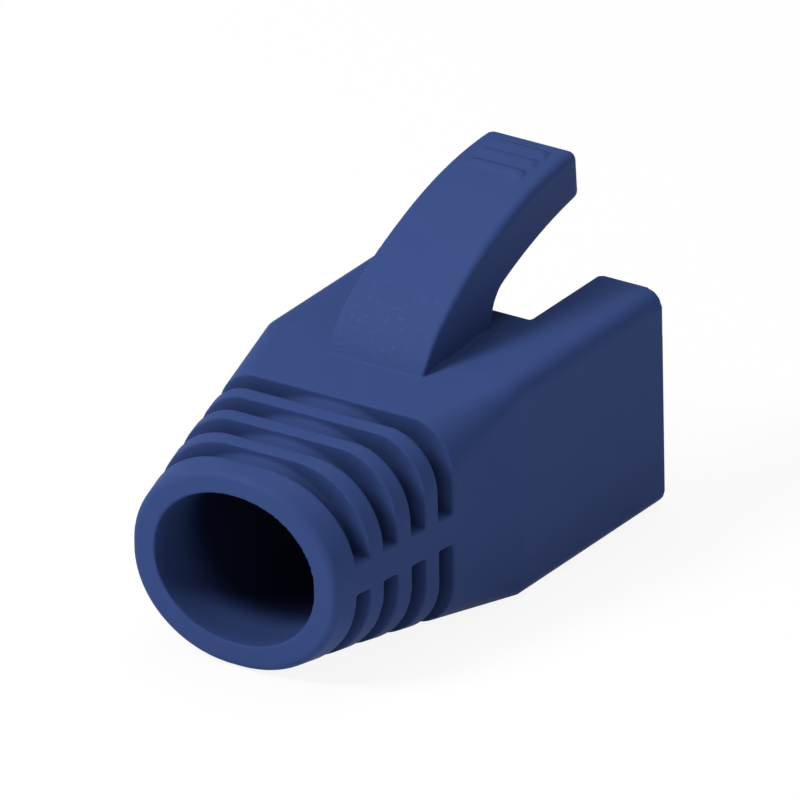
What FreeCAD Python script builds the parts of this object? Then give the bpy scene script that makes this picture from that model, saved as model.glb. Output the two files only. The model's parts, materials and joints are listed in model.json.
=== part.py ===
import FreeCAD, Part
import math
import os

from FreeCAD import Vector

# Strain relief boot for a modular network plug, one moulding in soft plastic, in millimetres.
# Y runs along the cable: the cable enters at y = 0 and the plug goes in at the far end.
# Z is up, on the side of the latch. The origin is the middle of the cable opening.

# Plug pocket, open at the front
plug_width = 11.7
plug_height = 8.3
plug_clearance = 0.12
pocket_depth = 12.0
pocket_floor_drop = 3.88
pocket_corner = 0.3
side_wall = 1.11
floor_wall = 1.23
roof_wall = 1.2

# Housing around the pocket
housing_length = 12.2
housing_top_corner = 0.9
housing_bottom_corner = 0.7
mouth_round = 0.2

# Tail between the housing and the cable
tail_length = 13.38
bore_width = 8.84
bore_height = 7.48
collar_side_wall = 1.26
collar_top_wall = 1.04
collar_bottom_wall = 1.24
oval_share = 0.97
collar_round = 0.32
rim_bands = 4
bore_bevel = 0.08

# Corners of the tail where it turns from the oval collar to the square housing
front_upper_corner = (3.3, 3.8)
front_lower_corner = (4.3, 4.1)
rear_upper_corner = (2.4, 2.7)
rear_lower_corner = (2.8, 3.0)

# Flex grooves round the tail, split by a web along each side
groove_count = 4
groove_first = 2.05
groove_pitch = 1.99
groove_width = 1.02
groove_side_depth = 0.95
groove_top_depth = 0.38
core_low_share = 0.8
web_height = 1.62
web_lift = 0.32

# Notch in the roof for the plug's latch
notch_width = 7.1
notch_length = 5.92

# Latch guard, an arm that rises from the roof and reaches over the notch
guard_root_width = 5.5
guard_tip_width = 4.94
guard_root = 11.93
guard_overhang = -0.06
guard_rise = 6.08
guard_root_angle = 58.0
guard_knee = 2.07
guard_knee_rise = 2.19
guard_crest = 8.07
guard_crest_rise = 5.18
guard_tip_lean = 3.8
guard_tip_thickness = 2.43
guard_heel = 1.61
guard_heel_height = 1.31
guard_under_angle = 8.0
guard_fillet = 0.9
guard_round = 0.42
guard_sink = 0.6

# Grip bars across the top of the guard
bar_count = 3
bar_length = 3.2
bar_width = 0.49
bar_height = 0.2
bar_pitch = 0.98
bar_setback = 1.22
bar_round = 0.1

# Values worked out from the sizes above
pocket_width = plug_width + 2 * plug_clearance
pocket_height = plug_height + 2 * plug_clearance
pocket_floor = -pocket_floor_drop
pocket_roof = pocket_floor + pocket_height
housing_half = pocket_width / 2 + side_wall
housing_bottom = pocket_floor - floor_wall
housing_top = pocket_roof + roof_wall
collar_half = bore_width / 2 + collar_side_wall
collar_top = bore_height / 2 + collar_top_wall
collar_bottom = -bore_height / 2 - collar_bottom_wall
mouth = tail_length + housing_length
front_turn = groove_first + groove_pitch
rear_turn = groove_first + (groove_count - 1) * groove_pitch
notch_start = mouth - notch_length
reach_past = 1.0


def corner_curve(start, corner, end):
    """A quarter of an ellipse from start to end, tangent to the lines that meet at corner."""
    curve = Part.BezierCurve()
    curve.setPoles([start, corner, end])
    curve.setWeight(2, math.sqrt(0.5))
    return curve.toShape()


def section(y, half_width, bottom, top, upper, lower):
    """A closed outline across the cable: four sides joined by elliptical corners."""
    points = []
    for sign_x, sign_z in ((1, 1), (-1, 1), (-1, -1), (1, -1)):
        edge_z = top if sign_z > 0 else bottom
        corner_x, corner_z = upper if sign_z > 0 else lower
        side = Vector(sign_x * half_width, y, edge_z - sign_z * corner_z)
        corner = Vector(sign_x * half_width, y, edge_z)
        flat = Vector(sign_x * (half_width - corner_x), y, edge_z)
        ends = (side, corner, flat) if sign_x == sign_z else (flat, corner, side)
        points.append(ends)
    edges = []
    for index, (start, corner, end) in enumerate(points):
        edges.append(corner_curve(start, corner, end))
        following = points[(index + 1) % 4][0]
        edges.append(Part.makeLine(end, following))
    return Part.Wire(edges)


def oval(y, half_width, bottom, top):
    """An outline that is nearly an ellipse, with short flats that grow into the housing's sides."""
    corner = (oval_share * half_width, oval_share * (top - bottom) / 2)
    return section(y, half_width, bottom, top, corner, corner)


def block(x_low, x_high, y_low, y_high, z_low, z_high):
    size = (x_high - x_low, y_high - y_low, z_high - z_low)
    return Part.makeBox(size[0], size[1], size[2], Vector(x_low, y_low, z_low))


def edges_where(shape, test):
    """The edges whose bounding box passes a test."""
    return [edge for edge in shape.Edges if test(edge.BoundBox)]


def at(value, target):
    return abs(value - target) < 0.01


def tail_size(y):
    """Half width, bottom and top of the tail at y: straight lines from the collar to the housing."""
    share = y / tail_length
    half_width = collar_half + (housing_half - collar_half) * share
    bottom = collar_bottom + (housing_bottom - collar_bottom) * share
    top = collar_top + (housing_top - collar_top) * share
    return half_width, bottom, top


def collar_rim():
    """Outlines that follow a quarter round from the collar's flat face to its side."""
    outlines = []
    for band in range(rim_bands + 1):
        turn = math.radians(90) * band / rim_bands
        y = collar_round * (1 - math.cos(turn))
        inset = collar_round * (1 - math.sin(turn))
        half_width, bottom, top = tail_size(y)
        outlines.append(oval(y, half_width - inset, bottom + inset, top - inset))
    return outlines


def outer_body():
    """Tail and housing as one ruled loft, with a soft rim round the mouth."""
    upper = (housing_top_corner, housing_top_corner)
    lower = (housing_bottom_corner, housing_bottom_corner)
    outlines = collar_rim() + [
        section(front_turn, *tail_size(front_turn), front_upper_corner, front_lower_corner),
        section(rear_turn, *tail_size(rear_turn), rear_upper_corner, rear_lower_corner),
        section(tail_length, housing_half, housing_bottom, housing_top, upper, lower),
        section(mouth, housing_half, housing_bottom, housing_top, upper, lower),
    ]
    body = Part.makeLoft(outlines, True, True)
    plug_rim = edges_where(body, lambda box: at(box.YMin, mouth))
    return body.makeFillet(mouth_round, plug_rim)


def cavity():
    """Cable bore with a small bevel at its rim, and the plug pocket that it opens into."""
    width = bore_width / 2
    height = bore_height / 2
    seat = mouth - pocket_depth
    outlines = [
        oval(-bore_bevel, width + 2 * bore_bevel, -height - 2 * bore_bevel, height + 2 * bore_bevel),
        oval(bore_bevel, width, -height, height),
        oval(seat + bore_bevel, width, -height, height),
    ]
    bore = Part.makeLoft(outlines, True, True)
    corner = (pocket_corner, pocket_corner)
    sides = (pocket_width / 2, pocket_floor, pocket_roof, corner, corner)
    pocket = Part.makeLoft([section(seat, *sides), section(mouth + reach_past, *sides)], True, True)
    return bore.fuse(pocket)


def groove_core():
    """What the grooves leave standing inside the tail: a tube close under the skin at the top."""
    side = collar_half - groove_side_depth
    top = collar_top - groove_top_depth
    bottom = collar_bottom + groove_top_depth
    end_side = housing_half - groove_side_depth
    end_top = housing_top - groove_top_depth
    end_bottom = housing_bottom + groove_top_depth
    outlines = []
    for y, half_width, low, high in ((0, side, bottom, top), (tail_length, end_side, end_bottom, end_top)):
        half_height = (high - low) / 2
        upper = (oval_share * half_width, oval_share * half_height)
        lower = (core_low_share * half_width, core_low_share * half_height)
        outlines.append(section(y, half_width, low, high, upper, lower))
    return Part.makeLoft(outlines, True, True)


def grooves():
    """All groove rings, each split into an upper and a lower half by the side webs."""
    far = 2 * housing_half
    web_low = web_lift - web_height / 2
    web_high = web_lift + web_height / 2
    core = groove_core()
    cuts = []
    for index in range(groove_count):
        middle = groove_first + index * groove_pitch
        start = middle - groove_width / 2
        end = middle + groove_width / 2
        upper = block(-far, far, start, end, web_high, far)
        lower = block(-far, far, start, end, -far, web_low)
        cuts.append(upper.cut(core))
        cuts.append(lower.cut(core))
    return cuts


def notch():
    half = notch_width / 2
    low = pocket_roof - pocket_corner
    return block(-half, half, notch_start, mouth + reach_past, low, 2 * housing_top)


def tangent_arc(start, way, end):
    """The round arc that leaves start along way and stops at end, and the way it points there."""
    chord = end - start
    square = Vector(0, -way.z, way.y)
    radius = chord.Length ** 2 / (2 * chord.dot(square))
    centre = start + square * radius
    half_turn = math.asin(chord.Length / (2 * radius))
    middle_way = chord.normalize()
    middle = centre - Vector(0, -middle_way.z, middle_way.y) * radius
    end_way = middle_way * (2 * math.cos(half_turn)) - way
    return Part.Arc(start, middle, end).toShape(), end_way.normalize()


def guard_top():
    """The guard's upper line: three arcs that run on from each other, from the roof to the tip."""
    rise = math.radians(guard_root_angle)
    way = Vector(0, math.cos(rise), math.sin(rise))
    start = Vector(0, guard_root, housing_top)
    stops = [
        Vector(0, guard_root + guard_knee, housing_top + guard_knee_rise),
        Vector(0, guard_root + guard_crest, housing_top + guard_crest_rise),
        Vector(0, mouth + guard_overhang, housing_top + guard_rise),
    ]
    arcs = []
    for stop in stops:
        arc, way = tangent_arc(start, way, stop)
        arcs.append(arc)
        start = stop
    return arcs


def grip_bars(top_line):
    """Low bars that lie square across the guard's top, counted back from the tip."""
    bars = []
    for index in range(bar_count):
        distance = top_line.Length - bar_setback - index * bar_pitch
        spot = top_line.getParameterByLength(distance)
        way = top_line.tangentAt(spot)
        if way.y < 0:
            way = way * -1
        half_width = bar_width / 2
        bar = block(-bar_length / 2, bar_length / 2, -half_width, half_width, -guard_round, bar_height)
        crown = edges_where(bar, lambda box: at(box.ZMin, bar_height))
        bar = bar.makeFillet(bar_round, crown)
        turn = math.degrees(math.atan2(way.z, way.y))
        bar.rotate(Vector(0, 0, 0), Vector(1, 0, 0), turn)
        bar.translate(top_line.valueAt(spot))
        bars.append(bar)
    return bars


def guard_plan(length_past):
    """The guard seen from above: widest at the root and narrower at the tip."""
    root = guard_root_width / 2
    tip = guard_tip_width / 2
    reach = mouth + guard_overhang - guard_root
    slope = (root - tip) / reach
    near = guard_root - length_past
    far = mouth + guard_overhang + length_past
    wide = root + slope * length_past
    narrow = tip - slope * length_past
    corners = [(-wide, near), (wide, near), (narrow, far), (-narrow, far), (-wide, near)]
    outline = Part.makePolygon([Vector(x, y, 0) for x, y in corners])
    return Part.Face(outline).extrude(Vector(0, 0, 3 * housing_top))


def guard():
    """The latch guard: its side profile swept across, then narrowed from root to tip."""
    top_arcs = guard_top()
    lean = math.radians(guard_tip_lean)
    tip = Vector(0, mouth + guard_overhang, housing_top + guard_rise)
    tip_low = tip + Vector(0, math.sin(lean), -math.cos(lean)) * guard_tip_thickness
    heel = Vector(0, notch_start - guard_heel, housing_top + guard_heel_height)
    slope = math.radians(guard_under_angle)
    under, heel_way = tangent_arc(tip_low, Vector(0, -math.cos(slope), -math.sin(slope)), heel)
    root = Vector(0, guard_root, housing_top)
    base = housing_top - guard_sink
    lines = top_arcs + [
        Part.makeLine(tip, tip_low),
        under,
        Part.makeLine(heel, Vector(0, heel.y, base)),
        Part.makeLine(Vector(0, heel.y, base), Vector(0, root.y, base)),
        Part.makeLine(Vector(0, root.y, base), root),
    ]
    profile = Part.Face(Part.Wire(lines))
    profile.translate(Vector(-guard_root_width, 0, 0))
    arm = profile.extrude(Vector(2 * guard_root_width, 0, 0)).common(guard_plan(reach_past))
    half = guard_tip_width / 2
    at_heel = lambda box: at(box.YMin, heel.y) and at(box.ZMax, heel.z)
    crook = edges_where(arm, lambda box: at_heel(box) and box.XLength > half)
    arm = arm.makeFillet(guard_fillet, crook)
    clear = housing_top + guard_round
    long_edges = edges_where(arm, lambda box: box.XLength < half and box.ZMax > clear)
    tip_edges = edges_where(arm, lambda box: box.XLength > half and box.ZMin > heel.z + guard_fillet)
    arm = arm.makeFillet(guard_round, long_edges + tip_edges)
    for bar in grip_bars(top_arcs[-1]):
        arm = arm.fuse(bar)
    return arm


shape = outer_body()
shape = shape.cut(cavity())
for cut in grooves():
    shape = shape.cut(cut)
shape = shape.cut(notch())
shape = shape.fuse(guard())

os.makedirs("parts", exist_ok=True)
shape.exportStep("parts/boot.step")
print("boot", shape.isValid(), len(shape.Solids), round(shape.Volume, 2))
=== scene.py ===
import bpy
import json
import math
from mathutils import Matrix, Vector


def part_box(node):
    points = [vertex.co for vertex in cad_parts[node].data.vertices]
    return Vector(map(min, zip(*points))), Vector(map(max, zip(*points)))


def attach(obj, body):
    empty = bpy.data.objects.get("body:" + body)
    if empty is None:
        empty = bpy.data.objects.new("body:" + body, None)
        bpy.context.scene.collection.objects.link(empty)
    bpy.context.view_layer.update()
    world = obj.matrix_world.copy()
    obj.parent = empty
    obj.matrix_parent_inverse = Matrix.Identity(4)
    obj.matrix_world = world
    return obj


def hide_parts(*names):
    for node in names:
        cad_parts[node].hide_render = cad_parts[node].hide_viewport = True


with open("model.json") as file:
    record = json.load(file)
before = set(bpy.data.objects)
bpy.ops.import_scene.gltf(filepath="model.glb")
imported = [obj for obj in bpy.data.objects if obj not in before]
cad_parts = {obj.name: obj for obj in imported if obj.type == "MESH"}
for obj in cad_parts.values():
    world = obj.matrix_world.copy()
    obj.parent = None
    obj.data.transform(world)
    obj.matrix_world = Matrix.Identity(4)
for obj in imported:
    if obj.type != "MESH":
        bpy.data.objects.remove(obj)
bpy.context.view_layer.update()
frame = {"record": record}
mm = 0.001
print("frame loaded")


class Net:  # one socket of a node tree, so that maths on it reads as Python
    def __init__(self, tree, socket=None):
        self.tree = tree
        self.socket = socket

    def node(self, kind, settings=None, sockets=None, output=0):
        made = self.tree.nodes.new(kind)
        for name, value in (settings or {}).items():
            setattr(made, name, value)
        for key, value in (sockets or {}).items():
            if isinstance(value, Net):
                self.tree.links.new(value.socket, made.inputs[key])
            else:
                made.inputs[key].default_value = value
        return Net(self.tree, None if output is None else made.outputs[output])

    def beside(self, output):  # another output of the same node
        return Net(self.tree, self.socket.node.outputs[output])

    def maths(self, operation, *values):
        return self.node("ShaderNodeMath", {"operation": operation}, dict(enumerate(values)))

    def vector(self, operation, *values, output=0):
        return self.node("ShaderNodeVectorMath", {"operation": operation}, dict(enumerate(values)), output)

    def __add__(self, other):
        return self.maths("ADD", self, other)

    def __radd__(self, other):
        return self.maths("ADD", other, self)

    def __sub__(self, other):
        return self.maths("SUBTRACT", self, other)

    def __rsub__(self, other):
        return self.maths("SUBTRACT", other, self)

    def __mul__(self, other):
        return self.maths("MULTIPLY", self, other)

    def __rmul__(self, other):
        return self.maths("MULTIPLY", other, self)

    def __truediv__(self, other):
        return self.maths("DIVIDE", self, other)

    def __rtruediv__(self, other):
        return self.maths("DIVIDE", other, self)

    def __neg__(self):
        return self.maths("MULTIPLY", self, -1)

    def __abs__(self):
        return self.maths("ABSOLUTE", self)

    def __gt__(self, other):
        return self.maths("GREATER_THAN", self, other)


def larger(a, b):
    return a.maths("MAXIMUM", a, b)


def smaller(a, b):
    return a.maths("MINIMUM", a, b)


def upToOne(a):  # held between 0 and 1
    return smaller(larger(a, 0), 1)


def eased(a):  # from 0 to 1 with a gentle start and end
    return a * a * (3 - a * 2)


def root(a):
    return a.maths("SQRT", a)


def between(a, b, share):  # a where share is 0, b where it is 1
    return a + (b - a) * share


def both(a, b, radius):  # inside a and inside b, with the edge between them rounded
    overA = larger(a + radius, 0)
    overB = larger(b + radius, 0)
    return smaller(larger(a, b), -radius) + root(overA * overA + overB * overB)


def either(a, b, radius):  # inside a or inside b, with a fillet where they meet
    return -both(-a, -b, radius)


def byStages(along, stops, values):  # runs straight from value to value between 0 and each stop in turn
    start = 0
    total = values[0]
    for stop, before, after in zip(stops, values, values[1:]):
        total = total + (after - before) * upToOne((along - start) / (stop - start))
        start = stop
    return total


def nearestCopy(along, first, pitch, count):  # how far a place is past the nearest of a row of copies
    index = smaller(larger(along.maths("ROUND", (along - first) / pitch), 0), count - 1)
    return along - first - index * pitch


# Camera, fitted to the outline in the photo: angles in degrees, lengths in mm, frame of 800 pixels
shot = {
    "azimuth": 34.073,
    "elevation": 25.188,
    "roll": 1.01,
    "pixelsPerMm": 21.508,
    "focalPixels": 36000.0,
    "framePixels": 800,
    "aim": (0.0, 14.28, 2.04),
    "aimRightPixels": -4.077,
    "aimUpPixels": 18.004,
    "sensor": 36.0,
    "clipStart": 0.1,
    "clipEnd": 20.0,
}


def addCamera(shot):
    turn = math.radians(shot["azimuth"])
    lift = math.radians(shot["elevation"])
    roll = math.radians(shot["roll"])
    back = Vector((math.sin(turn) * math.cos(lift), -math.cos(turn) * math.cos(lift), math.sin(lift)))
    levelRight = Vector((math.cos(turn), math.sin(turn), 0))
    levelUp = back.cross(levelRight)
    right = levelRight * math.cos(roll) - levelUp * math.sin(roll)
    up = levelRight * math.sin(roll) + levelUp * math.cos(roll)
    aside = right * shot["aimRightPixels"] + up * shot["aimUpPixels"]
    distance = shot["focalPixels"] / shot["pixelsPerMm"]
    place = Vector(shot["aim"]) + aside / shot["pixelsPerMm"] + back * distance
    data = bpy.data.cameras.new("camera")
    data.sensor_width = shot["sensor"]
    data.lens = shot["focalPixels"] * shot["sensor"] / shot["framePixels"]
    data.clip_start = shot["clipStart"]
    data.clip_end = shot["clipEnd"]
    camera = bpy.data.objects.new("camera", data)
    axes = Matrix((right, up, back)).transposed().to_4x4()
    camera.matrix_world = Matrix.Translation(place * mm) @ axes
    bpy.context.scene.collection.objects.link(camera)
    bpy.context.scene.camera = camera


# Sizes of the moulding in mm, as in its solid, with the ends and the base taken from the frame
record = frame["record"]
mounts = {mount["name"]: mount for mount in record["mounts"]}
low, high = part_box("boot")
boot = {
    "mouth": mounts["plug_pocket"]["pos_m"][1] / mm,
    "housing bottom": mounts["base"]["pos_m"][2] / mm,
    "housing half width": high.x / mm,
    "housing top": 5.86,
    "housing top corner": 0.9,
    "housing bottom corner": 0.7,
    "tail length": 13.38,
    "collar half width": 5.68,
    "collar top": 4.78,
    "collar bottom": -4.98,
    "collar round": 0.32,
    "oval share": 0.97,
    "front turn": 4.04,
    "front upper x": 3.3,
    "front upper z": 3.8,
    "front lower x": 4.3,
    "front lower z": 4.1,
    "rear turn": 8.02,
    "rear upper x": 2.4,
    "rear upper z": 2.7,
    "rear lower x": 2.8,
    "rear lower z": 3.0,
    "edge round": 0.2,
    "bore edge": 0.08,
    "bore half width": 4.42,
    "bore half height": 3.74,
    "pocket half width": 5.97,
    "pocket bottom": -3.88,
    "pocket top": 4.66,
    "pocket depth": 12.0,
    "pocket corner": 0.3,
    "groove count": 4,
    "groove first": 2.05,
    "groove pitch": 1.99,
    "groove width": 1.02,
    "groove side depth": 0.95,
    "groove top depth": 0.38,
    "groove low share": 0.8,
    "groove corner": 0.05,
    "groove floor corner": 0.24,
    "rib rear round": 0.12,
    "rib rear top round": 0.34,
    "rib front round": 0.08,
    "web height": 1.62,
    "web lift": 0.32,
    "notch half width": 3.55,
    "notch length": 5.92,
    "notch corner": 0.1,
    "notch round": 0.15,
    "notch mouth round": 0.3,
    "guard root half width": 2.75,
    "guard tip half width": 2.47,
    "guard root": 11.93,
    "guard overhang": -0.06,
    "guard rise": 6.08,
    "guard root angle": 58.0,
    "guard knee": 2.07,
    "guard knee rise": 2.19,
    "guard crest": 8.07,
    "guard crest rise": 5.18,
    "guard tip lean": 3.8,
    "guard tip thickness": 2.43,
    "guard heel": 1.61,
    "guard heel height": 1.31,
    "guard under angle": 8.0,
    "guard fillet": 0.9,
    "guard root round": 0.14,
    "guard round": 0.42,
    "guard round run": 6.0,
    "guard sink": 0.6,
    "guard seam": 0.06,
    "bar count": 3,
    "bar half length": 1.6,
    "bar width": 0.49,
    "bar height": 0.16,
    "bar fade": 10.0,
    "bar pitch": 0.98,
    "bar setback": 1.22,
    "bar round": 0.12,
    "grid step": 0.14,  # the bands follow each other along the part, coarser where the stretch is larger
    "band 1 length": 8.9,
    "band 1 stretch": 1.0,
    "band 2 length": 2.4,
    "band 2 stretch": 4.0,
    "band 3 length": 1.5,
    "band 3 stretch": 1.2,
    "band 4 length": 4.6,
    "band 4 stretch": 3.0,
    "band 5 length": 9.4,
    "band 5 stretch": 1.8,
    "grid margin": 0.4,
    "corner share": 0.3,  # how far towards the middle of its face a corner's slope is taken
}


leastSlope = 0.0001  # keeps the corners' rule from dividing by nothing


def outline(x, z, halfWidth, bottom, top, upper, lower):  # across the cable, with elliptical corners
    halfHeight = (top - bottom) / 2
    height = z - (top + bottom) / 2
    above = height > 0
    cornerX = between(lower[0], upper[0], above)
    cornerZ = between(lower[1], upper[1], above)
    overX = abs(x) - halfWidth
    overZ = abs(height) - halfHeight
    shareX = larger(overX + cornerX, 0) / cornerX
    shareZ = larger(overZ + cornerZ, 0) / cornerZ
    reach = root(shareX * shareX + shareZ * shareZ)
    steepX = shareX / cornerX
    steepZ = shareZ / cornerZ
    steepness = larger(root(steepX * steepX + steepZ * steepZ), leastSlope)
    inCorner = (reach - 1) * reach / steepness
    return between(larger(overX, overZ), inCorner, reach > leastSlope)


def oval(x, z, halfWidth, bottom, top, share):
    corner = (halfWidth * share, (top - bottom) / 2 * share)
    return outline(x, z, halfWidth, bottom, top, corner, corner)


def tangentArc(start, way, end):  # centre, radius and last direction of the arc that leaves start along way
    chord = (end[0] - start[0], end[1] - start[1])
    square = (-way[1], way[0])
    length = chord[0] * chord[0] + chord[1] * chord[1]
    radius = length / (2 * (chord[0] * square[0] + chord[1] * square[1]))
    centre = (start[0] + square[0] * radius, start[1] + square[1] * radius)
    along = (way[0] * chord[0] + way[1] * chord[1]) / length * 2
    return centre, abs(radius), (chord[0] * along - way[0], chord[1] * along - way[1])


def awayFrom(place, centre):
    across = place[0] - centre[0]
    up = place[1] - centre[1]
    return root(across * across + up * up)


def past(place, stop, way):  # how far place lies beyond stop along way
    return (place[0] - stop[0]) * way[0] + (place[1] - stop[1]) * way[1]


def direction(angle):
    turn = angle.maths("RADIANS", angle)
    return turn.maths("COSINE", turn), turn.maths("SINE", turn)


def tailAndHousing(size, x, y, z):
    share = upToOne(y / size["tail length"])
    halfWidth = between(size["collar half width"], size["housing half width"], share)
    bottom = between(size["collar bottom"], size["housing bottom"], share)
    top = between(size["collar top"], size["housing top"], share)
    ovalX = size["collar half width"] * size["oval share"]
    ovalZ = (size["collar top"] - size["collar bottom"]) / 2 * size["oval share"]
    turns = (size["front turn"], size["rear turn"], size["tail length"])
    end = size["housing top corner"]
    upper = (
        byStages(y, turns, (ovalX, size["front upper x"], size["rear upper x"], end)),
        byStages(y, turns, (ovalZ, size["front upper z"], size["rear upper z"], end)),
    )
    end = size["housing bottom corner"]
    lower = (
        byStages(y, turns, (ovalX, size["front lower x"], size["rear lower x"], end)),
        byStages(y, turns, (ovalZ, size["front lower z"], size["rear lower z"], end)),
    )
    skin = outline(x, z, halfWidth, bottom, top, upper, lower)
    skin = both(skin, -y, size["collar round"])
    skin = both(skin, y - size["mouth"], size["edge round"])
    coreTop = top - size["groove top depth"]
    coreBottom = bottom + size["groove top depth"]
    coreHalf = halfWidth - size["groove side depth"]
    coreHeight = (coreTop - coreBottom) / 2
    high = (coreHalf * size["oval share"], coreHeight * size["oval share"])
    low = (coreHalf * size["groove low share"], coreHeight * size["groove low share"])
    core = outline(x, z, coreHalf, coreBottom, coreTop, high, low)
    row = nearestCopy(y, size["groove first"], size["groove pitch"], size["groove count"])
    web = size["web height"] / 2 - abs(z - size["web lift"])
    groove = both(abs(row) - size["groove width"] / 2, web, size["groove corner"])
    raised = upToOne(z / size["collar top"])
    floorCorner = between(size["groove corner"], size["groove floor corner"], raised)
    groove = both(groove, -core, floorCorner)
    rearRound = between(size["rib rear round"], size["rib rear top round"], raised * raised)
    across = upToOne(row / size["groove width"] + 0.5)
    grooved = both(skin, -groove, between(rearRound, size["rib front round"], across))
    return grooved, -skin


def cavity(size, x, y, z):
    height = size["bore half height"]
    seat = size["mouth"] - size["pocket depth"]
    bore = oval(x, z, size["bore half width"], -height, height, size["oval share"])
    bore = larger(bore, y - seat - size["edge round"])
    corner = (size["pocket corner"], size["pocket corner"])
    low = size["pocket bottom"]
    high = size["pocket top"]
    pocket = outline(x, z, size["pocket half width"], low, high, corner, corner)
    pocket = both(pocket, seat - y, size["pocket corner"])
    return either(bore, pocket, size["edge round"])


def latchNotch(size, x, y, z):
    beyond = size["mouth"] - y
    sides = either(abs(x) - size["notch half width"], beyond, size["notch mouth round"])
    back = size["mouth"] - size["notch length"] - y
    reach = 1.0  # mm below the pocket's roof, so that the notch opens into the pocket
    return larger(both(sides, back, size["notch corner"]), size["pocket top"] - reach - z)


def latchGuard(size, x, y, z):
    place = (y, z)
    rootPoint = (size["guard root"], size["housing top"])
    knee = (size["guard root"] + size["guard knee"], size["housing top"] + size["guard knee rise"])
    crest = (size["guard root"] + size["guard crest"], size["housing top"] + size["guard crest rise"])
    tip = (size["mouth"] + size["guard overhang"], size["housing top"] + size["guard rise"])
    lowCentre, lowRadius, kneeWay = tangentArc(rootPoint, direction(size["guard root angle"]), knee)
    midCentre, midRadius, crestWay = tangentArc(knee, kneeWay, crest)
    highCentre, highRadius, _ = tangentArc(crest, crestWay, tip)
    lowArc = awayFrom(place, lowCentre) - lowRadius
    midArc = awayFrom(place, midCentre) - midRadius
    highArc = awayFrom(place, highCentre) - highRadius
    top = between(lowArc, midArc, past(place, knee, kneeWay) > 0)
    top = between(top, highArc, past(place, crest, crestWay) > 0)

    lean = direction(size["guard tip lean"])
    thickness = size["guard tip thickness"]
    tipLow = (tip[0] + lean[1] * thickness, tip[1] - lean[0] * thickness)
    heelBack = size["mouth"] - size["notch length"] - size["guard heel"]
    heel = (heelBack, size["housing top"] + size["guard heel height"])
    slope = direction(size["guard under angle"])
    underCentre, underRadius, _ = tangentArc(tipLow, (-slope[0], -slope[1]), heel)
    under = underRadius - awayFrom(place, underCentre)
    side = larger(top, either(y - heel[0], under, size["guard fillet"]))
    side = both(side, past(place, tip, lean), size["guard round"])

    narrowing = (size["guard root half width"] - size["guard tip half width"]) / (tip[0] - rootPoint[0])
    halfWidth = size["guard root half width"] - narrowing * (y - rootPoint[0])
    grown = upToOne((y - rootPoint[0]) / size["guard round run"])
    guard = both(side, abs(x) - halfWidth, between(size["guard root round"], size["guard round"], grown))

    aroundTip = tip[0] - highCentre[0], tip[1] - highCentre[1]
    tipTurn = tip[0].maths("ARCTAN2", aroundTip[0], aroundTip[1])
    turn = y.maths("ARCTAN2", y - highCentre[0], z - highCentre[1])
    fromTip = (tipTurn - turn) * highRadius
    row = nearestCopy(fromTip, size["bar setback"], size["bar pitch"], size["bar count"])
    bar = both(abs(row) - size["bar width"] / 2, abs(x) - size["bar half length"], size["bar round"])
    outwards = abs(x) / size["bar half length"]
    faded = x.maths("POWER", outwards, size["bar fade"])
    crown = size["bar height"] * (1 - faded)
    bar = both(bar, highArc - crown, size["bar round"])
    bar = larger(bar, -highArc - size["guard round"])
    guard = either(guard, bar, size["bar round"])
    return larger(guard, size["housing top"] - size["guard sink"] - z)


def sizeInputs(tree, sizes):  # makes one input for each size, and gives every input by its name
    for name, value in sizes.items():
        made = tree.interface.new_socket(name, in_out="INPUT", socket_type="NodeSocketFloat")
        made.default_value = value
    inlet = tree.nodes.new("NodeGroupInput")
    return {socket.name: Net(tree, socket) for socket in inlet.outputs if socket.name}


def bootDistanceTree(sizes):  # how far a place lies outside the moulding's skin, in mm
    tree = bpy.data.node_groups.new("bootDistance", "GeometryNodeTree")
    tree.interface.new_socket("Place", in_out="INPUT", socket_type="NodeSocketVector")
    tree.interface.new_socket("Distance", in_out="OUTPUT", socket_type="NodeSocketFloat")
    tree.interface.new_socket("Depth", in_out="OUTPUT", socket_type="NodeSocketFloat")
    size = sizeInputs(tree, sizes)
    x = Net(tree).node("ShaderNodeSeparateXYZ", None, {0: size["Place"]})
    y = x.beside("Y")
    z = x.beside("Z")
    body, depth = tailAndHousing(size, x, y, z)
    body = both(body, -cavity(size, x, y, z), size["bore edge"])
    body = both(body, -latchNotch(size, x, y, z), size["notch round"])
    whole = either(body, latchGuard(size, x, y, z), size["guard seam"])
    outlet = tree.nodes.new("NodeGroupOutput")
    tree.links.new(whole.socket, outlet.inputs["Distance"])
    tree.links.new(depth.socket, outlet.inputs["Depth"])
    return tree


bandCount = sum(name.startswith("band ") for name in boot) // 2  # a length and a stretch in each

settling = {  # how the skin is moved onto the exact surface, lengths in mm
    "passes": 3,
    "nudge": 0.004,
    "leastSteepness": 0.2,
    "farthestMove": 0.1,
}


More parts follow.
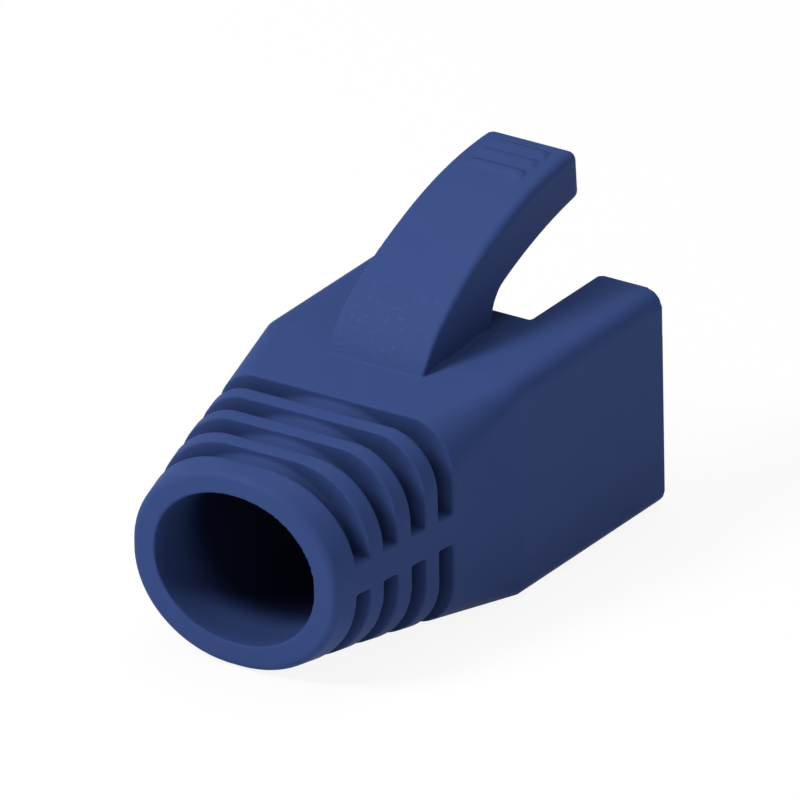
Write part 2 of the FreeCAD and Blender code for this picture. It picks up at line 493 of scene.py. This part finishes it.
def bootTree(sizes, material):
    distanceTree = bootDistanceTree(sizes)
    tree = bpy.data.node_groups.new("bootMoulding", "GeometryNodeTree")
    tree.interface.new_socket("Geometry", in_out="OUTPUT", socket_type="NodeSocketGeometry")
    size = sizeInputs(tree, sizes)
    net = Net(tree)

    def distance(place):
        sockets = dict(size)
        sockets["Place"] = place
        return net.node("GeometryNodeGroup", {"node_tree": distanceTree}, sockets)

    bands = []
    gridLength = 0
    for band in range(1, bandCount + 1):
        cut = size[f"band {band} length"] / size[f"band {band} stretch"]
        bands.append((gridLength, cut, size[f"band {band} stretch"]))
        gridLength = gridLength + cut

    # The grid is finer where edges run across the part, and this draws it out to full length
    def spread(place):
        x = net.node("ShaderNodeSeparateXYZ", None, {0: place})
        y = x.beside("Y")
        drawn = smaller(y, 0)
        for start, cut, stretch in bands:
            drawn = drawn + smaller(larger(y - start, 0), cut) * stretch
        return net.node("ShaderNodeCombineXYZ", None, {"X": x, "Y": drawn, "Z": x.beside("Z")})

    margin = size["grid margin"]
    farX = size["housing half width"] + margin
    farY = gridLength
    lowZ = size["housing bottom"] - margin
    highZ = size["housing top"] + size["guard rise"] + size["bar height"] + margin
    corner = net.node("ShaderNodeCombineXYZ", None, {"X": -farX, "Y": -margin, "Z": lowZ})
    opposite = net.node("ShaderNodeCombineXYZ", None, {"X": farX, "Y": farY, "Z": highZ})
    place = net.node("GeometryNodeInputPosition")
    grid = net.node("GeometryNodeVolumeCube", None, {
        "Density": -distance(spread(place)),
        "Background": -1.0,
        "Min": corner,
        "Max": opposite,
        "Resolution X": farX * 2 / size["grid step"],
        "Resolution Y": (farY + margin) / size["grid step"],
        "Resolution Z": (highZ - lowZ) / size["grid step"],
    })
    skin = net.node("GeometryNodeVolumeToMesh", None, {"Volume": grid, "Threshold": 0.0, "Adaptivity": 0.0})
    skin = net.node("GeometryNodeSetPosition", None, {"Geometry": skin, "Position": spread(place)})

    def slopeAt(place, here):  # which way, and how fast, the distance grows
        nudge = settling["nudge"]
        slopes = []
        for step in ((nudge, 0, 0), (0, nudge, 0), (0, 0, nudge)):
            slopes.append((distance(place.vector("ADD", place, step)) - here) / nudge)
        return net.node("ShaderNodeCombineXYZ", None, dict(enumerate(slopes)))

    # Each pass moves the skin onto the exact surface, along the slope of the distance
    farthest = settling["farthestMove"]
    for _ in range(settling["passes"]):
        here = distance(place)
        slope = slopeAt(place, here)
        steep = slope.vector("DOT_PRODUCT", slope, slope, output="Value")
        back = -here / larger(steep, settling["leastSteepness"])
        back = smaller(larger(back, -farthest), farthest)
        move = net.node("ShaderNodeVectorMath", {"operation": "SCALE"}, {0: slope, "Scale": back})
        skin = net.node("GeometryNodeSetPosition", None, {"Geometry": skin, "Offset": move})

    # Keeps how deep each point lies below the outer skin, which the material uses for its painted shade in
    # grooves and hollows
    stored = {"data_type": "FLOAT", "domain": "POINT"}
    depth = {"Geometry": skin, "Name": "depth", "Value": distance(place).beside("Depth")}
    skin = net.node("GeometryNodeStoreNamedAttribute", stored, depth)
    skin = net.node("GeometryNodeTransform", None, {"Geometry": skin, "Scale": (mm, mm, mm)})
    skin = net.node("GeometryNodeSetShadeSmooth", None, {0: skin})

    # Each corner takes the exact slope a little way in from its point, so that creases stay crisp
    point = net.node("ShaderNodeVectorMath", {"operation": "SCALE"}, {0: place, "Scale": 1 / mm})
    onFace = {"domain": "FACE", "data_type": "FLOAT_VECTOR"}
    middle = net.node("GeometryNodeFieldOnDomain", onFace, {0: point})
    shares = {0: size["corner share"], 4: point, 5: middle}
    inward = net.node("ShaderNodeMix", {"data_type": "VECTOR"}, shares, 1)
    slope = slopeAt(inward, distance(inward))
    aside = slope.vector("NORMALIZE", slope)
    onCorner = {"mode": "FREE", "domain": "CORNER"}
    skin = net.node("GeometryNodeSetMeshNormal", onCorner, {"Mesh": skin, "Custom Normal": aside})
    skin = net.node("GeometryNodeRealizeInstances", None, {0: skin})
    skin = net.node("GeometryNodeSetMaterial", None, {"Geometry": skin, "Material": material})
    outlet = tree.nodes.new("NodeGroupOutput")
    tree.links.new(skin.socket, outlet.inputs["Geometry"])
    return tree


def plainMesh(name, tree, sizes):  # runs the tree once and keeps only the mesh that it gives
    holder = bpy.data.objects.new(name, bpy.data.meshes.new(name))
    bpy.context.scene.collection.objects.link(holder)
    modifier = holder.modifiers.new("moulding", "NODES")
    modifier.node_group = tree
    for item in tree.interface.items_tree:
        if item.in_out == "INPUT" and item.name in sizes:
            modifier[item.identifier] = float(sizes[item.name])
    evaluated = holder.evaluated_get(bpy.context.evaluated_depsgraph_get())
    mesh = bpy.data.meshes.new_from_object(evaluated)
    holder.modifiers.remove(modifier)
    holder.data = mesh
    mesh.name = name
    return holder


# Soft blue moulding compound: colours are linear, grain sizes in mm
plastic = {
    "colour": (0.0395, 0.0705, 0.214, 1.0),
    "shade": (0.0355, 0.0645, 0.2, 1.0),
    "speck": (0.047, 0.083, 0.24, 1.0),
    # Painted shade: the grooves, bore and pocket are coloured darker with depth below the outer skin
    "inside": (0.024, 0.0435, 0.131, 1.0),
    "deep": 0.9,  # mm below the skin where the painted recess shade is full
    "boreReach": 1.07,  # squared share of the bore's size that still counts as its wall
    # Painted shade along the bore: lighter near the collar and near black further in
    "boreNearPaintedShade": (0.032, 0.0565, 0.17, 1.0),
    "boreDeepPaintedShade": (0.007, 0.011, 0.042, 1.0),
    "darkFrom": 1.7,  # mm in from the collar, as the next two are
    "darkFull": 4.4,
    "darkTo": 12.0,
    "darkFade": 3.0,
    "cloudScale": 0.6,
    "cloudDetail": 3.0,
    "grainScale": 7.0,
    "grainDetail": 3.0,
    "grainBump": 0.15,
    "speckScale": 3.4,
    "speckDetail": 4.0,
    "speckFrom": 0.54,
    "speckTo": 0.68,
    "speckSide": 2.45,  # mm from the middle, and the next three are heights in mm
    "speckTop": 9.1,
    "speckFade": 1.2,
    "speckBottom": 6.0,
    "bumpHeight": 0.018,  # mm
    "roughness": 0.55,
    "roughnessSpan": 0.15,
    "specular": 0.04,
}


def plasticMaterial(plastic):
    material = bpy.data.materials.new("bluePlastic")
    material.use_nodes = True
    tree = material.node_tree
    tree.nodes.clear()
    net = Net(tree)
    place = net.node("ShaderNodeTexCoord", output="Object")
    place = net.node("ShaderNodeVectorMath", {"operation": "SCALE"}, {0: place, "Scale": 1 / mm})

    def noise(kind):
        scale = plastic[kind + "Scale"]
        detail = plastic[kind + "Detail"]
        return net.node("ShaderNodeTexNoise", None, {"Vector": place, "Scale": scale, "Detail": detail})

    cloud = noise("cloud")
    grain = noise("grain")

    # Pale scuffed specks low on the guard, where it is rubbed
    speck = (noise("speck") - plastic["speckFrom"]) / (plastic["speckTo"] - plastic["speckFrom"])
    aside = net.node("ShaderNodeSeparateXYZ", None, {0: place})
    height = aside.beside("Z")
    under = upToOne((plastic["speckTop"] - height) / plastic["speckFade"])
    onFront = (plastic["speckSide"] - abs(aside)) > 0
    speck = upToOne(speck) * under * onFront * (height > plastic["speckBottom"])

    blend = {"data_type": "RGBA"}
    colour = net.node("ShaderNodeMix", blend, {0: cloud, 6: plastic["shade"], 7: plastic["colour"]}, 2)
    colour = net.node("ShaderNodeMix", blend, {0: speck, 6: colour, 7: plastic["speck"]}, 2)
    # Painted shade: darker with depth below the outer skin, in the grooves, bore and pocket
    depth = net.node("ShaderNodeAttribute", {"attribute_name": "depth"}, output="Fac")
    recessShadeShare = upToOne(depth / plastic["deep"])

    # Painted shade: the bore's wall is coloured lighter for its first millimetres and near black beyond
    # them, in place of the light falling off inside it
    sideways = aside / boot["bore half width"]
    upwards = height / boot["bore half height"]
    inBore = (plastic["boreReach"] - sideways * sideways - upwards * upwards) > 0
    along = aside.beside("Y")
    inBore = inBore * upToOne((plastic["darkTo"] - along) / plastic["darkFade"])
    boreShadeShare = upToOne((along - plastic["darkFrom"]) / (plastic["darkFull"] - plastic["darkFrom"]))
    boreShadeShare = eased(boreShadeShare)
    boreShadeColour = net.node("ShaderNodeMix", blend, {0: boreShadeShare, 6: plastic["boreNearPaintedShade"], 7: plastic["boreDeepPaintedShade"]}, 2)
    paintedShadeColour = net.node("ShaderNodeMix", blend, {0: inBore, 6: plastic["inside"], 7: boreShadeColour}, 2)
    colour = net.node("ShaderNodeMix", blend, {0: recessShadeShare, 6: colour, 7: paintedShadeColour}, 2)
    relief = grain * plastic["grainBump"] + speck
    bump = net.node("ShaderNodeBump", None, {"Distance": plastic["bumpHeight"] * mm, "Height": relief})
    roughness = plastic["roughness"] + (grain - 0.5) * plastic["roughnessSpan"]
    shader = net.node("ShaderNodeBsdfPrincipled", None, {
        "Base Color": colour,
        "Roughness": roughness,
        "Normal": bump,
        "Specular IOR Level": plastic["specular"],
    })
    net.node("ShaderNodeOutputMaterial", None, {"Surface": shader}, None)
    return material


# Floor, sky and lamps: places and sizes in m, power in W
studio = {
    "seenFloor": (1.0, 1.0, 1.0, 1.0),
    "litFloor": (0.85, 0.85, 0.85, 1.0),
    "floorGlow": 0.9,  # how much of the floor that is seen shines by itself
    "floorSize": 3.0,
    "sky": (1.0, 1.0, 1.0, 1.0),
    "world": 0.2,  # strength of the sky on the part, while the camera sees it at 1
    "aim": (0.0, 0.013, 0.0),
    "lamps": {
        "key": {"power": 0.7, "size": 0.09, "place": (-0.13, -0.155, 0.226)},
        "top": {"power": 0.4, "size": 0.2, "place": (-0.03, 0.1, 0.33)},
        "fill": {"power": 0.12, "size": 0.25, "place": (0.16, -0.19, 0.08)},
    },
}


def floorMaterial(studio):  # the camera sees a pale floor, and the part gets little light back from it
    material = bpy.data.materials.new("paleFloor")
    material.use_nodes = True
    tree = material.node_tree
    tree.nodes.clear()
    net = Net(tree)
    ray = net.node("ShaderNodeLightPath", output="Is Camera Ray")
    seen = larger(larger(ray, ray.beside("Is Glossy Ray")), ray.beside("Is Transmission Ray"))
    pale = net.node("ShaderNodeBsdfDiffuse", None, {"Color": studio["seenFloor"]})
    glow = net.node("ShaderNodeEmission", None, {"Color": studio["seenFloor"]})
    shown = net.node("ShaderNodeMixShader", None, {0: studio["floorGlow"], 1: pale, 2: glow})
    dull = net.node("ShaderNodeBsdfDiffuse", None, {"Color": studio["litFloor"]})
    whole = net.node("ShaderNodeMixShader", None, {0: seen, 1: dull, 2: shown})
    net.node("ShaderNodeOutputMaterial", None, {"Surface": whole}, None)
    return material


def addStudio(studio):
    floorMesh = bpy.data.meshes.new("floor")
    half = studio["floorSize"] / 2
    corners = [(-half, -half, low.z), (half, -half, low.z), (half, half, low.z), (-half, half, low.z)]
    floorMesh.from_pydata(corners, [], [(0, 1, 2, 3)])
    floorMesh.materials.append(floorMaterial(studio))
    floor = bpy.data.objects.new("floor", floorMesh)
    bpy.context.scene.collection.objects.link(floor)

    world = bpy.data.worlds.new("studio")
    bpy.context.scene.world = world
    world.use_nodes = True
    tree = world.node_tree
    tree.nodes.clear()
    net = Net(tree)
    seen = net.node("ShaderNodeLightPath", output="Is Camera Ray")
    strength = seen * (1 - studio["world"]) + studio["world"]
    sky = net.node("ShaderNodeBackground", None, {"Color": studio["sky"], "Strength": strength})
    net.node("ShaderNodeOutputWorld", None, {"Surface": sky}, None)

    for name, settings in studio["lamps"].items():
        data = bpy.data.lights.new(name, "AREA")
        data.energy = settings["power"]
        data.size = settings["size"]
        lamp = bpy.data.objects.new(name, data)
        lamp.location = settings["place"]
        aim = Vector(studio["aim"]) - lamp.location
        lamp.rotation_euler = aim.to_track_quat("-Z", "Y").to_euler()
        bpy.context.scene.collection.objects.link(lamp)


addCamera(shot)
print("camera placed")
bluePlastic = plasticMaterial(plastic)
print("plastic made")
moulding = plainMesh("moulding", bootTree(boot, bluePlastic), boot)
print("moulding", len(moulding.data.vertices), "points", len(moulding.data.polygons), "faces")
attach(moulding, "root")
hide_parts("boot")
addStudio(studio)
print("studio lit")
bpy.context.scene.view_settings.view_transform = "Standard"
